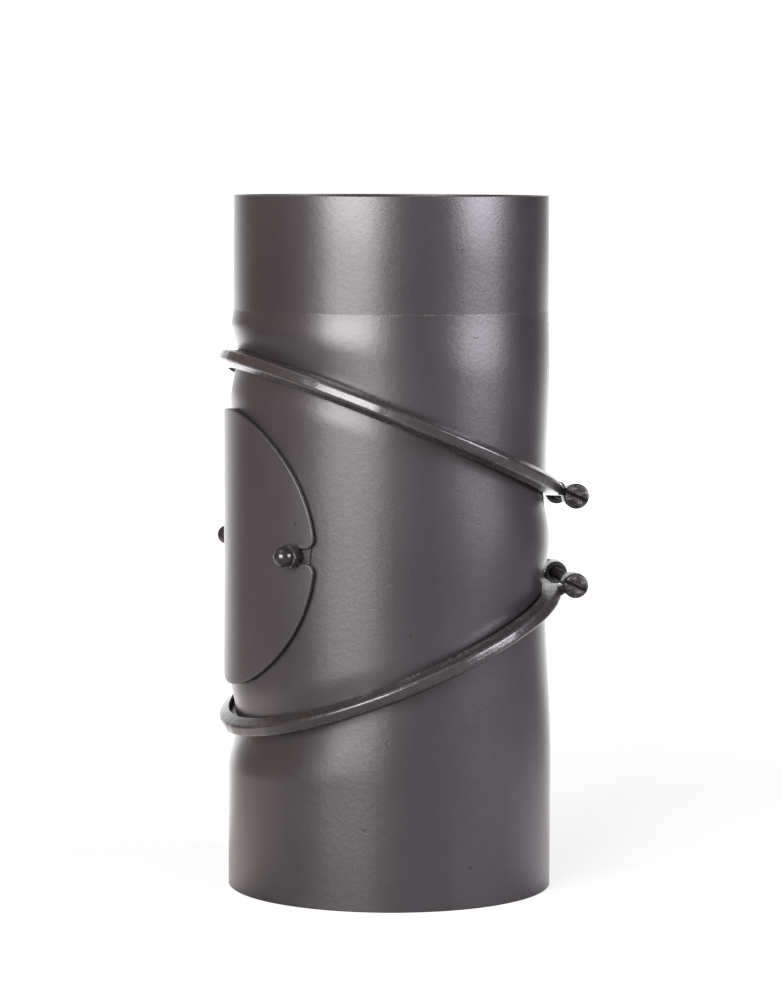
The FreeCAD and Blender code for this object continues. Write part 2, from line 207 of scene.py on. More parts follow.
class Shade:
    """A socket of a material, so that sums on shader values are written as plain expressions."""

    def __init__(self, tree, socket=None):
        self.tree = tree
        self.socket = socket

    def fill(self, node, sockets):
        """Gives a node's sockets their values or links."""
        for key, value in sockets.items():
            if isinstance(value, Shade):
                self.tree.links.new(value.socket, node.inputs[key])
            else:
                node.inputs[key].default_value = value

    def node(self, kind, settings=None, sockets=None, output=0):
        """New node of a kind: its settings are made first, then its sockets get values or links."""
        made = self.tree.nodes.new("ShaderNode" + kind)
        for key, value in (settings or {}).items():
            setattr(made, key, value)
        self.fill(made, sockets or {})
        return Shade(self.tree, made.outputs[output])

    def maths(self, operation, first, second):
        """Math node on two values, either of which may be a plain number."""
        return self.node("Math", {"operation": operation}, {0: first, 1: second})

    def __add__(self, other):
        return self.maths("ADD", self, other)

    def __sub__(self, other):
        return self.maths("SUBTRACT", self, other)

    def __rsub__(self, other):
        return self.maths("SUBTRACT", other, self)

    def __mul__(self, other):
        return self.maths("MULTIPLY", self, other)

    __radd__ = __add__
    __rmul__ = __mul__

    def step(self, low, high):
        """0 below low and 1 above high, with a smooth rise between."""
        return self.node("MapRange", {"interpolation_type": "SMOOTHSTEP"},
                         {0: self, 1: low, 2: high, 3: 0.0, 4: 1.0})

    def place(self):
        """Where a point of the piece lies, in Object coordinates."""
        return self.node("TexCoord", output="Object")

    def attribute(self, name):
        """A share that is stored on the points of the mesh, and 0 where there is none."""
        return self.node("Attribute", {"attribute_name": name}, output="Fac")

    def stretched(self, where, scale):
        """Coordinates times a scale for each axis."""
        return self.node("Mapping", None, {"Vector": where, "Scale": scale})

    def noise(self, where, scale, detail=3.0, rough=0.5):
        """Cloudy noise with a number of waves to the metre."""
        return self.node("TexNoise", None, {"Vector": where, "Scale": scale, "Detail": detail,
                                            "Roughness": rough})

    def blend(self, share, first, second):
        """Colour mixed from the first to the second by a share, with a Mix node's colour sockets."""
        return self.node("Mix", {"data_type": "RGBA"}, {0: share, 6: first, 7: second}, 2)

    def bump(self, strength, distance):
        """Normal of a surface whose height is this value times a distance in metres."""
        return self.node("Bump", None, {"Strength": strength, "Distance": distance, "Height": self})


def new_material(name):
    """Empty material with its Principled shader, and the Shade that its nodes grow from."""
    material = bpy.data.materials.new(name)
    material.use_nodes = True
    return material, material.node_tree.nodes["Principled BSDF"], Shade(material.node_tree)


def stove_paint(name, dark, light, gloss, grain=1.0):
    """Satin stove paint: fine metallic grain, cloudy patches, faint runs down the pipe, sparse dark
    pinholes and an orange-peel bump. The wear attribute thins the paint to a paler, broken line
    with a few dark chips. On the cover's edge and the cap nuts' chamfer that paler line is also a
    painted highlight."""
    material, shader, shade = new_material(name)
    where = shade.place()
    wear = shade.attribute("wear")
    clouds = shade.noise(where, 9.0, 4.0, 0.6)
    runs = shade.noise(shade.stretched(where, (60.0, 60.0, 6.0)), 1.0, 2.0)
    grains = shade.noise(where, 1500.0, 2.0, 0.7)
    flecks = shade.noise(where, 520.0, 3.0, 0.8)
    pinholes = shade.noise(where, 210.0, 2.0, 0.5).step(0.735, 0.765)
    dimples = shade.noise(where, 260.0, 2.0, 0.6)
    breaks = shade.noise(where, 95.0, 2.0, 0.6)
    mist = clouds.step(0.3, 0.7) * 0.5 + runs.step(0.35, 0.7) * 0.2 + grains.step(0.3, 0.7) * 0.3
    colour = shade.blend(mist, dark, light)
    colour = shade.blend(flecks.step(0.66, 0.78) * 0.2 * grain, colour, FLECK_GREY)
    # Paler scuffs where the wear share is high: rubbed paint, and on the cover's edge and the cap nuts'
    # chamfer also a painted highlight.
    scuffs_and_highlight = wear * flecks.step(0.4, 0.6) * (breaks.step(0.46, 0.56) * 0.85 + 0.15)
    colour = shade.blend(scuffs_and_highlight, colour, SCUFF_AND_HIGHLIGHT_GREY)
    chips = wear.step(0.1, 0.4) * breaks.step(0.66, 0.69)
    colour = shade.blend(pinholes * 0.8 + chips * 0.9, colour, CHIP_BLACK)
    rough = (clouds - 0.5) * 0.08 + (grains - 0.5) * (0.12 * grain) + gloss
    peel = grains * 0.5 + flecks * 0.9 + dimples * 1.2 - pinholes * 1.5
    shade.fill(shader, {"Base Color": colour, "Roughness": rough, "Normal": peel.bump(0.19 * grain, 0.0002),
                        "Metallic": 0.3, "Specular IOR Level": 1.0})
    return material


def flange_line(side):
    """Half section of a mouth's collar and flange, from the collar's outside, round the flange's
    edge, to the collar's inside, as (reach, distance). Side is where the wall lies."""
    inside = MOUTH_REACH - SHEET
    return soften([(MOUTH_REACH, side * COLLAR_STRAIGHT, 0), (MOUTH_REACH, side * FLANGE_FACE, 0.2),
                   (FLANGE_RADIUS, side * FLANGE_FACE, 0.45), (FLANGE_RADIUS, side * JOINT_GAP, 0.3),
                   (inside, side * JOINT_GAP, 0.5), (inside, side * COLLAR_STRAIGHT, 0)])


def bottom_rows():
    """Rows of the bottom section's whole wall, from the lower rim's middle and back to it."""
    shares = 1 - np.linspace(1, 0, NECK_ROWS) ** NECK_EASE
    levels = np.linspace(RIM_STRAIGHT, SOCKET_STRAIGHT, 9)[1:-1]
    walls = []
    for inset in (0, SHEET):
        radius = SOCKET_RADIUS - inset
        rim = soften([(SOCKET_RADIUS - SHEET / 2, 0, 0), (radius, 0, RIM_ROUNDING),
                      (radius, RIM_STRAIGHT, 0)])
        drawn = drawn_rows((SOCKET_STRAIGHT, 0), (LOWER_JOINT - COLLAR_RISE, -TILT), shares,
                           end_blends(1 - shares), SOCKET_RADIUS, COLLAR_OFFSET, inset)
        walls.append(np.concatenate([plain_rows(rim), plain_rows([(radius, level) for level in levels]),
                                     drawn]))
    flange = mouth_rows(LOWER_JOINT, -1, flange_line(-1), SOCKET_RADIUS)[1:-1]
    return np.concatenate([walls[0], flange, walls[1][:0:-1]])


pipe_paint = stove_paint("stove_paint", PIPE_DARK, PIPE_LIGHT, 0.34)
rows = bottom_rows()
points = sheet_points(rows)
make_piece("bottom_pipe", points, grid_faces(len(rows), AROUND, closed=True), "bottom",
           ["bottom_section"], pipe_paint, 0.4 * bell(points[..., 2], WEAR_WIDTH))


# Middle section: a wedge-shaped tube of the same sheet between the two slanted joints, flanged at
# both mouths. A round cleaning port is cut through its long side, under the cover.
TUBE_RADIUS = 76.0
UPPER_JOINT = 221.0
COVER_HEIGHT = 164.0
ROLL_RADIUS = 78.2
PORT_RADIUS = 45.0
MIDDLE_PRESS = (0.5, 0.0967)
PATCH_HALF = 28
PATCH_MARGIN = 16
PORT_RINGS = 8

# Shares from 0 to 1 that lie closer at both ends: half of 1 less the cosine of half a turn.
WALL_SHARES = (1 - np.cos(np.linspace(0, math.pi, 61))) / 2


def rolled(arc, height, radius):
    """Points of the rolled sheet round the cover's centre: an arc length on the roll's middle line
    becomes an angle, which is carried straight out to a radius on the -X side."""
    turn = arc / ROLL_RADIUS
    return np.stack([-radius * np.cos(turn), radius * np.sin(turn), COVER_HEIGHT + height + 0 * turn], -1)


def middle_rows():
    """Rows of the middle section's wall, from its lower flange up the outside and back down the
    inside, and how many of them make up a flange."""
    low, high = (LOWER_JOINT + COLLAR_RISE, -TILT), (UPPER_JOINT - COLLAR_RISE, TILT)
    blends = [smooth_step(np.minimum(WALL_SHARES, 1 - WALL_SHARES) / press) for press in MIDDLE_PRESS]
    drawn = [drawn_rows(low, high, WALL_SHARES, blends, TUBE_RADIUS, -COLLAR_OFFSET, inset)
             for inset in (0, SHEET)]
    lower = mouth_rows(LOWER_JOINT, -1, flange_line(1), TUBE_RADIUS)[1:-1]
    upper = mouth_rows(UPPER_JOINT, 1, flange_line(-1), TUBE_RADIUS)[1:-1]
    return np.concatenate([drawn[0], upper, drawn[1][::-1], lower[::-1]]), len(upper)


rows, flange_rows = middle_rows()
wall_rows = len(WALL_SHARES)
points = sheet_points(rows)
middle_wall = points[:wall_rows]
patch_columns = AROUND // 2 + np.arange(-PATCH_HALF, PATCH_HALF + 1)


def port_patch(first, last, radius):
    """Edge of a window in the wall's grid, and the rings of points that go evenly from there to the
    port's circle, in arc length and height on the rolled wall."""
    window = np.arange(first, last + 1)
    edge = np.concatenate([first * AROUND + patch_columns[:-1], window[:-1] * AROUND + patch_columns[-1],
                           last * AROUND + patch_columns[:0:-1], window[:0:-1] * AROUND + patch_columns[0]])
    border = points.reshape(-1, 3)[edge]
    arc = np.arctan2(border[:, 1], -border[:, 0]) * ROLL_RADIUS
    height = border[:, 2] - COVER_HEIGHT
    turn = np.arctan2(height, arc)
    share = np.linspace(0, 1, PORT_RINGS + 1)[1:, None]
    ring_arc = arc + (PORT_RADIUS * np.cos(turn) - arc) * share
    ring_height = height + (PORT_RADIUS * np.sin(turn) - height) * share
    border_radius = np.hypot(border[:, 0], border[:, 1])
    return edge, rolled(ring_arc, ring_height, border_radius + (radius - border_radius) * share)


# On the outer and the inner wall a window's faces are swapped for its rings. Then the two lips are
# put in order of their turn round the port, and joined by its cut edge.
faces = grid_faces(len(rows), AROUND, closed=True)
face_row, face_column = np.divmod(np.arange(len(faces)), AROUND)
in_patch = (face_column >= patch_columns[0]) & (face_column < patch_columns[-1])
keep = np.full(len(faces), True)
all_points, port_faces, lips = points.reshape(-1, 3), [], []
for start, radius in ((0, TUBE_RADIUS), (wall_rows + flange_rows, TUBE_RADIUS - SHEET)):
    first, last = start + PATCH_MARGIN, start + wall_rows - 1 - PATCH_MARGIN
    keep &= ~(in_patch & (face_row >= first) & (face_row < last))
    edge, rings = port_patch(first, last, radius)
    index = len(all_points) + np.arange(rings[..., 0].size).reshape(rings.shape[:2])
    index = np.concatenate([edge[None], index])
    ahead = np.roll(index, -1, 1)
    port_faces.append(np.stack([index[:-1], ahead[:-1], ahead[1:], index[1:]], -1).reshape(-1, 4))
    lips.append(index[-1][np.argsort(np.arctan2(rings[-1][:, 2] - COVER_HEIGHT, rings[-1][:, 1]))])
    all_points = np.concatenate([all_points, rings.reshape(-1, 3)])
outer_lip, inner_lip = lips
lip_faces = np.stack([outer_lip, inner_lip, np.roll(inner_lip, -1), np.roll(outer_lip, -1)], -1)
make_piece("middle_pipe", all_points, np.concatenate([faces[keep], *port_faces, lip_faces]), "middle",
           ["middle_section"], pipe_paint)


# Top section: the same sheet with a slanted flanged mouth below. Above a pressed crease it is drawn
# in a little to a plain spigot, which slides into the next pipe. Paint has chipped off the crease.
CREASE = 275.0
TOP = 329.0
SPIGOT_RADIUS = 74.5
LEAN_IN = 1.4
LEAN_LENGTH = 30.0
SHOULDER_SHARE = 0.5
SHOULDER_BREAK = 0.5


def shoulder_radius(shares):
    """Radius from the crease out to the tube: a mean of an eased rise and of a quarter sine wave,
    whose slope is greatest at the crease."""
    rise = np.minimum(1, (1 - shares) / SHOULDER_SHARE)
    swell = (1 - SHOULDER_BREAK) * smooth_step(rise) + SHOULDER_BREAK * np.sin(math.pi / 2 * rise)
    return SPIGOT_RADIUS + (TUBE_RADIUS - SPIGOT_RADIUS) * swell


def top_rows():
    """Rows of the top section's wall, from its flange up the outside and back down the inside."""
    levels = [CREASE + 0.7, CREASE + 2, *np.linspace(CREASE + 6, TOP - 4, 12)]
    walls = []
    for inset in (0, SHEET):
        drawn = drawn_rows((UPPER_JOINT + COLLAR_RISE, TILT), (CREASE, 0), WALL_SHARES,
                           end_blends(WALL_SHARES), shoulder_radius(WALL_SHARES), COLLAR_OFFSET, inset)
        radius = SPIGOT_RADIUS - inset
        line = soften([(radius, CREASE + 0.3, 0), (radius, TOP, RIM_ROUNDING),
                       (SPIGOT_RADIUS - SHEET / 2, TOP, 0)])
        line = np.concatenate([line[:1], [(radius, level) for level in levels], line[1:]])
        straight = plain_rows(line)
        straight[:, 3] -= LEAN_IN * np.clip((line[:, 1] - TOP + LEAN_LENGTH) / LEAN_LENGTH, 0, 1) ** 2
        walls.append(np.concatenate([drawn, straight]))
    mouth = mouth_rows(UPPER_JOINT, 1, flange_line(1), TUBE_RADIUS)[1:-1]
    return np.concatenate([walls[0], walls[1][-2::-1], mouth[::-1]])


rows = top_rows()
points = sheet_points(rows)
level = points[..., 2]
wear = 0.5 * bell(level - CREASE, WEAR_WIDTH) + 0.5 * bell(level - TOP, WEAR_WIDTH)
make_piece("top_pipe", points, grid_faces(len(rows), AROUND, closed=True), "top",
           ["top_section"], pipe_paint, wear)


# Gasket: a flat ring of pressed fibre felt under the cover, squeezed against the pipe. Only its
# edge shows, as a thin matt line, and its ring where the cover's notches leave it bare.
GASKET_OUT = 77.2
GASKET_RADIUS = 62.0
FELT_LIFT = 0.02
FELT_COLUMNS = 180
wall_height = middle_wall[..., 2]
wall_reach = np.hypot(middle_wall[..., 0], middle_wall[..., 1])


def pipe_reach(arc, height):
    """Distance of the middle section's outer face from the axis under points of the roll: read off
    each column of the wall's grid at the point's height, then between the two nearest columns."""
    level = (COVER_HEIGHT + height).ravel()
    place = ((math.pi - arc / ROLL_RADIUS) * AROUND / (2 * math.pi)).ravel()
    reach = np.array([np.interp(level, wall_height[:, column], wall_reach[:, column])
                      for column in range(AROUND)])
    low = np.floor(place).astype(int)
    index = np.arange(len(level))
    nearest = reach[low % AROUND, index], reach[(low + 1) % AROUND, index]
    return (nearest[0] + (nearest[1] - nearest[0]) * (place - low)).reshape(arc.shape)


def pressed_felt():
    """Grey fibre felt: short tangled fibres from noise stretched two ways, matt and soft."""
    material, shader, shade = new_material("pressed_felt")
    where = shade.place()
    first = shade.noise(shade.stretched(where, (900.0, 2600.0, 2600.0)), 1.0, 3.0)
    second = shade.noise(shade.stretched(where, (2600.0, 900.0, 700.0)), 1.0, 3.0)
    fibres = first.step(0.35, 0.65) * 0.5 + second.step(0.35, 0.65) * 0.5
    colour = shade.blend(fibres, (0.03, 0.028, 0.027, 1), (0.085, 0.078, 0.076, 1))
    shade.fill(shader, {"Base Color": colour, "Normal": fibres.bump(0.6, 0.0003), "Roughness": 0.95})
    return material


ring_line = soften([(PORT_RADIUS, 0.5, 0), (PORT_RADIUS, 0, 0.2), (GASKET_RADIUS, 0, 0.2),
                    (GASKET_RADIUS, 1, 0.2), (PORT_RADIUS, 1, 0.2), (PORT_RADIUS, 0.5, 0)])[:-1]
turn = full_turn(FELT_COLUMNS)
fray = 0.25 * np.sin(23 * turn) + 0.2 * np.sin(41 * turn + 1)
spread = ring_line[:, :1] + fray * (ring_line[:, :1] > GASKET_RADIUS - 1)
arc, height = spread * np.cos(turn), spread * np.sin(turn)
under = pipe_reach(arc, height) + FELT_LIFT
points = rolled(arc, height, under + (GASKET_OUT - under) * ring_line[:, 1:])
make_piece("gasket_felt", points, grid_faces(len(ring_line), FELT_COLUMNS, closed=True, flip=True), "middle",
           ["cover_gasket"], pressed_felt())


# Cleaning cover: a round plate of 2 mm sheet rolled to the pipe, with an open rounded notch at each
# end for a stud. It lifts off once both cap nuts are undone. Its cut edge is painted, and a paler
# line along it is partly rubbed paint and partly a painted highlight.
COVER_IN = 77.2
COVER_OUT = 79.2
COVER_RADIUS = 65.0
COVER_CORE = 46.0
STUD_ARC = 53.9
NOTCH = 3.4
NOTCH_LIP = 4.5


def cover_outline():
    """Quarter outline of the plate as (arc, height), from the notch's root to the top: the notch's
    half round, its straight side, its rounded lip and the plate's own circle, mirrored to all four."""
    lip_height = NOTCH + NOTCH_LIP
    lip_arc = math.sqrt((COVER_RADIUS - NOTCH_LIP) ** 2 - lip_height ** 2)
    lip_turn = math.atan2(lip_height, lip_arc)
    root = np.linspace(math.pi, math.pi / 2, 13)
    lip = np.linspace(-math.pi / 2, lip_turn, 13)
    circle = np.linspace(lip_turn, math.pi / 2, 60)
    side = np.linspace(STUD_ARC, lip_arc, 5)[1:-1]
    quarter = np.concatenate([
        np.stack([STUD_ARC + NOTCH * np.cos(root), NOTCH * np.sin(root)], 1),
        np.stack([side, 0 * side + NOTCH], 1),
        np.stack([lip_arc + NOTCH_LIP * np.cos(lip), lip_height + NOTCH_LIP * np.sin(lip)], 1),
        COVER_RADIUS * np.stack([np.cos(circle), np.sin(circle)], 1)[1:]])
    upper = np.concatenate([quarter, (quarter * [-1, 1])[::-1][1:]])
    return np.concatenate([upper, (upper * [1, -1])[::-1][1:-1]])


outline = cover_outline()
ahead = np.roll(outline, -1, 0) - np.roll(outline, 1, 0)
inward = np.stack([-ahead[:, 1], ahead[:, 0]], 1) / np.linalg.norm(ahead, axis=1)[:, None]

# A circle inside the outline has a point for each of the outline's points. The turns of a quarter of
# them bunch up towards the notch as the outline's own points do there.
quarter_count = len(outline) // 4 + 1
place = np.arange(quarter_count) / (quarter_count - 1)
core_quarter = np.interp(place, [0, 13 / 88, 28 / 88, 1], [0.0, 0.115, 0.26, math.pi / 2])
core_upper = np.concatenate([core_quarter, (math.pi - core_quarter)[::-1][1:]])
core_turn = np.concatenate([core_upper, (-core_upper)[::-1][1:-1]])
core = COVER_CORE * np.stack([np.cos(core_turn), np.sin(core_turn)], 1)


def plate_rings(edge, flat):
    """Rings of one face of the plate, and their distances from the pipe's axis: a quarter round in
    from the edge's distance to the flat's, then straight steps to the core circle and the middle."""
    turn = np.linspace(0, math.pi / 2, 5)
    rounded = outline + inward * (abs(flat - edge) * (1 - np.cos(turn)))[:, None, None]
    start = rounded[-1] + inward * 0.25
    share = np.linspace(0, 1, 9)[:, None, None]
    arcs = np.concatenate([rounded, start + (core - start) * share, core * (1 - share[1:])])
    return arcs, np.concatenate([edge + (flat - edge) * np.sin(turn), np.full(len(arcs) - len(turn), flat)])


front, front_depth = plate_rings(COVER_OUT - 0.45, COVER_OUT)
back, back_depth = plate_rings(COVER_IN + 0.25, COVER_IN)
arcs = np.concatenate([back[::-1], front])
depth = np.concatenate([back_depth[::-1], front_depth])
points = rolled(arcs[..., 0], arcs[..., 1], depth[:, None])
# Paler line along the plate's front edge: rubbed paint and a painted highlight.
edge_wear_and_highlight = np.concatenate([np.zeros(len(back)), np.exp(-np.arange(len(front)) / 2.0) * 0.25])
make_piece("cleaning_cover_plate", points, grid_faces(len(arcs), len(outline), flip=True), "middle",
           ["cleaning_cover"], stove_paint("cover_paint", PIPE_DARK, PIPE_LIGHT, 0.38),
           np.repeat(edge_wear_and_highlight, len(outline)))


# Studs: M6 threaded steel, welded to the pipe and pointing straight out through the gasket and the
# cover's notches. They are dull bare steel with cut threads.
THREAD_PITCH = 1.0
THREAD_ROOT = 2.45
THREAD_TOP = 2.97
STUD_TURN = STUD_ARC / ROLL_RADIUS
STUD_TIP = 86.2
STUD_COLUMNS = 40
STUD_ENDS = (("front", -1), ("rear", 1))
THREAD_STEP = 0.1
TIP_RADIUS = 2.3


def rings_of(radius, turn, level):
    """Grid of points (radius * cosine of the turn, radius * sine of the turn, level)."""
    return np.stack([radius * np.cos(turn), radius * np.sin(turn), level + 0 * turn], -1)


def tip_edge(levels, tip):
    """Largest radius at each level of a rod: its thread's top, and a cone of 45 degrees at the tip."""
    return np.minimum(THREAD_TOP, TIP_RADIUS + np.maximum(0, tip - levels))


def threaded(levels, edge, thread_low, thread_high, columns):
    """Grid of a threaded rod about its own axis: the radius swings between root and crest as a
    triangle with flat tips of height over pitch less the turn, and fades out at the thread's ends."""
    turn = full_turn(columns)
    phase = (levels[:, None] / THREAD_PITCH - turn / (2 * np.pi)) % 1
    tooth = np.clip(1.15 - 2.415 * np.abs(phase - 0.5), 0, 1)
    fade = smooth_step((levels - thread_low) / 0.8) * smooth_step((thread_high - levels) / 0.8)
    radius = THREAD_TOP - (THREAD_TOP - THREAD_ROOT) * (1 - tooth) * fade[:, None]
    return rings_of(np.minimum(edge[:, None], radius), turn, levels[:, None])


def set_in(points, origin, across, up, out):
    """Points moved from a piece's own axes to the object's: origin + x across + y up + z out."""
    return (np.asarray(origin) + points[..., :1] * across + points[..., 1:2] * up
            + points[..., 2:] * out)


def stud_axes(side):
    """Axes on the pipe's centre line with z straight out along a stud. Side -1 is the front one."""
    out = np.array([-math.cos(STUD_TURN), side * math.sin(STUD_TURN), 0])
    up = np.array([0, 0, 1.0])
    return np.array([0, 0, COVER_HEIGHT]), np.cross(up, out), up, out


def bare_steel(name, dark, light, rough, metallic=0.9):
    """Bare steel: patches of dark oxide and small pits, which also roughen it. A share stored on the
    mesh paints shade into a screw's slot, near black and rougher on its floor and lower walls."""
    material, shader, shade = new_material(name)
    where = shade.place()
    painted_slot_shade = shade.attribute("painted_slot_shade")
    patches = shade.noise(where, 260.0, 4.0, 0.6)
    pits = shade.noise(where, 2400.0, 2.0, 0.6)
    colour = shade.blend(patches.step(0.35, 0.65), dark, light)
    colour = shade.blend(pits.step(0.6, 0.75) * 0.4, colour, (0.02, 0.018, 0.017, 1))
    # Painted shade: a screw slot's floor and lower walls go near black.
    colour = shade.blend(painted_slot_shade * 0.85, colour, (0.006, 0.005, 0.005, 1))
    gloss = (patches - 0.5) * 0.25 + (pits - 0.5) * 0.1 + painted_slot_shade * 0.4 + rough
    shade.fill(shader, {"Base Color": colour, "Roughness": gloss, "Metallic": metallic,
                        "Normal": (pits + patches).bump(0.2, 0.0001)})
    return material


stud_steel = bare_steel("dull_steel", (0.10, 0.095, 0.09, 1), (0.30, 0.29, 0.28, 1), 0.42)
levels = np.arange(TUBE_RADIUS + 0.15, STUD_TIP - 0.05, THREAD_STEP)
levels = np.concatenate([[TUBE_RADIUS + 0.05] * 2, levels, [STUD_TIP] * 2])
edge = tip_edge(levels, STUD_TIP)
edge[[0, -1]] = 0
stud_grid = threaded(levels, edge, TUBE_RADIUS + 0.5, STUD_TIP + 2, STUD_COLUMNS)
for end, side in STUD_ENDS:
    make_piece(end + "_stud_thread", set_in(stud_grid, *stud_axes(side)),
               grid_faces(len(levels), STUD_COLUMNS), "middle", [end + "_stud"], stud_steel,
               sharp=50)


# Cap nuts: domed M6 nuts turned from hexagon bar, in a darker and glossier paint than the pipe's.
# They hold the cover down on its gasket, and their dome hides the end of the stud.
NUT_FLATS = 10.0
CAP_HEX = 5.5
CAP_HEIGHT = 12.0
DOME_RADIUS = 4.75
BORE_RADIUS = 3.05
CORNER_RADIUS = 5.8
HEXAGON_COLUMNS = 144
HEXAGON_POWER = 60


def hexagon_radius(turn):
    """Distance from the axis to a nut's side: half its flats over the root of the sum of a high power
    of the cosines of the turns from the six sides' middles. That is close to the largest cosine
    alone, and rounds the corners a little."""
    sides = np.cos(turn[:, None] - math.pi / 6 - np.arange(6) * math.pi / 3)
    return NUT_FLATS / 2 / np.sum(np.clip(sides, 0, 1) ** HEXAGON_POWER, 1) ** (1 / HEXAGON_POWER)


def hexagon_grid(line):
    """Grid from a line of (radius, height): each ring is the smaller of its own circle and the
    hexagon, so that a sloping line cuts the corners back as a lathe does."""
    turn = full_turn(HEXAGON_COLUMNS)
    return rings_of(np.minimum(line[:, :1], hexagon_radius(turn)), turn, line[:, 1:])


def filled(line, step):
    """Line with extra points, so that none are further apart than the step."""
    line = np.asarray(line, float)
    parts = [line[:1]]
    for start, stop in zip(line[:-1], line[1:]):
        count = max(1, math.ceil(np.linalg.norm(stop - start) / step))
        parts.append(start + (stop - start) * np.linspace(0, 1, count + 1)[1:, None])
    return np.concatenate(parts)


dome_turn = np.linspace(0, math.pi / 2, 14)
dome = np.stack([DOME_RADIUS * np.cos(dome_turn),
                 CAP_HEIGHT - DOME_RADIUS + DOME_RADIUS * np.sin(dome_turn)], 1)
cap_line = np.concatenate([
    filled(soften([(0, 7.4, 0), (BORE_RADIUS, 6.6, 0), (BORE_RADIUS, 0, 0.3), (4.85, 0, 0.2),
                   (CORNER_RADIUS, 0.55, 0)], 2), 0.4),
    filled([(CORNER_RADIUS, 0.56), (CORNER_RADIUS, CAP_HEX - 0.62)], 0.4),
    filled(soften([(CORNER_RADIUS, CAP_HEX - 0.6, 0), (4.95, CAP_HEX - 0.05, 0.08),
                   (DOME_RADIUS, CAP_HEX + 0.1, 0.07), (DOME_RADIUS, CAP_HEX + 0.5, 0)], 3), 0.15),
    dome])
# Paler band round the hexagon's top chamfer: rubbed paint and a painted highlight.
edge_wear_and_highlight = np.exp(-np.abs(cap_line[:, 1] - CAP_HEX + 0.2) / 0.45)
nut_paint = stove_paint("cap_nut_paint", (0.014, 0.012, 0.013, 1), (0.030, 0.026, 0.028, 1), 0.22, 0.7)
cap_grid = hexagon_grid(cap_line) + [0, 0, COVER_OUT]
for end, side in STUD_ENDS:
    make_piece(end + "_cap_nut_domed", set_in(cap_grid, *stud_axes(side)),
               grid_faces(len(cap_line), HEXAGON_COLUMNS), end + "_cap_nut",
               [end + "_cap_nut"], nut_paint, np.repeat(edge_wear_and_highlight, HEXAGON_COLUMNS), sharp=40)


# Clamp bands: a channel rolled from 1.4 mm sheet, whose leaning legs wedge the two flanges together.
# The band is open between its barrels. It is dipped in thick paint, which has pooled and run a little.
BAND_SHEET = 1.4
BAND_LEAN = math.radians(19.5)
BAND_OUT = 87.2
BAND_IN = BAND_OUT - BAND_SHEET
LEG_END = 81.3
BARREL_SPACING = 32.4
CLAMP_TURN = math.radians(-6.3)
FLANGE_CLEARANCE = 0.32
BAND_ROWS = 420
BAND_EDGE = 0.5
half_flat = (FLANGE_FACE + FLANGE_CLEARANCE + BAND_SHEET / math.cos(BAND_LEAN)
             - (BAND_OUT - FLANGE_RADIUS) * math.tan(BAND_LEAN))
CLAMPS = (("lower", LOWER_JOINT, -1), ("upper", UPPER_JOINT, 1))
PAINT_RUNS = {"lower": 0.4, "upper": 2.1}


def band_sections():
    """Outer and inner lines of the channel's half section, point for point, as (radius, height)."""
    leg = half_flat + (BAND_OUT - LEG_END) * math.tan(BAND_LEAN)
    thick = BAND_SHEET / math.cos(BAND_LEAN)
    flat_inside = leg - thick - (BAND_IN - LEG_END) * math.tan(BAND_LEAN)
    outer = soften([(LEG_END, -leg, 0), (BAND_OUT, -half_flat, 1.3), (BAND_OUT, half_flat, 1.3),
                    (LEG_END, leg, 0)], 7)
    inner = soften([(LEG_END, thick - leg, 0), (BAND_IN, -flat_inside, 0.5), (BAND_IN, flat_inside, 0.5),
                    (LEG_END, leg - thick, 0)], 7)
    return outer, inner


def clamp_axes(joint, side):
    """Axes of a clamp on its joint: x through the middle of the gap, y towards the back, z the axis."""
    slope = np.array([math.cos(TILT), 0, -side * math.sin(TILT)])
    axis = np.array([side * math.sin(TILT), 0, math.cos(TILT)])
    back = np.array([0, 1.0, 0])
    gap = slope * math.cos(CLAMP_TURN) + back * math.sin(CLAMP_TURN)
    return np.array([0, 0, joint]), gap, back * math.cos(CLAMP_TURN) - slope * math.sin(CLAMP_TURN), axis


def band_grid(runs):
    """Grid of the band and its wear: the channel's outer and inner lines carried round the axis. The
    sheet thins to a rounded edge in the last half millimetre, and the paint adds a slow unevenness
    outside. It is rubbed most at the band's ends, then along the leg edges and the two corners."""
    outer, inner = band_sections()
    count = len(outer)
    half_gap = math.asin(BARREL_SPACING / 2 / BAND_OUT)
    end = np.array([0, 0.1, 0.3, BAND_EDGE]) / BAND_OUT
    first = half_gap + 0.012
    turn = np.concatenate([half_gap + end, np.linspace(first, 2 * math.pi - first, BAND_ROWS),
                           2 * math.pi - half_gap - end[::-1]])
    from_end = np.minimum(turn - half_gap, 2 * math.pi - half_gap - turn) * BAND_OUT
    full = 0.55 + 0.45 * np.sqrt(1 - (1 - np.clip(from_end / BAND_EDGE, 0, 1)) ** 2)
    middle = (outer + inner) / 2
    line = np.concatenate([outer, inner[::-1]])
    heart = np.concatenate([middle, middle[::-1]])
    section = heart + (line - heart) * full[:, None, None]
    lump = (0.05 * np.sin(17 * turn + runs) + 0.04 * np.sin(39 * turn + 2 * runs)
            + 0.03 * np.sin(71 * turn + 3 * runs))
    radius = section[..., 0] + lump[:, None] * (np.arange(2 * count) < count)
    from_corner = np.hypot(line[:, 0] - BAND_OUT, np.abs(line[:, 1]) - half_flat)
    rubbed = 0.6 * np.exp(-(line[:, 0] - LEG_END) / 0.4) + 0.35 * bell(from_corner, 0.7)
    wear = np.maximum(0.8 * np.exp(-from_end / 2)[:, None], rubbed)
    return rings_of(radius, turn[:, None], section[..., 1]), wear


def end_caps(rows, count):
    """Faces that close both ends of the band, each from the outer line to the inner one."""
    step = np.arange(count - 1)
    first = np.stack([step, step + 1, 2 * count - 2 - step, 2 * count - 1 - step], 1)
    return first, (rows - 1) * 2 * count + first[:, ::-1]


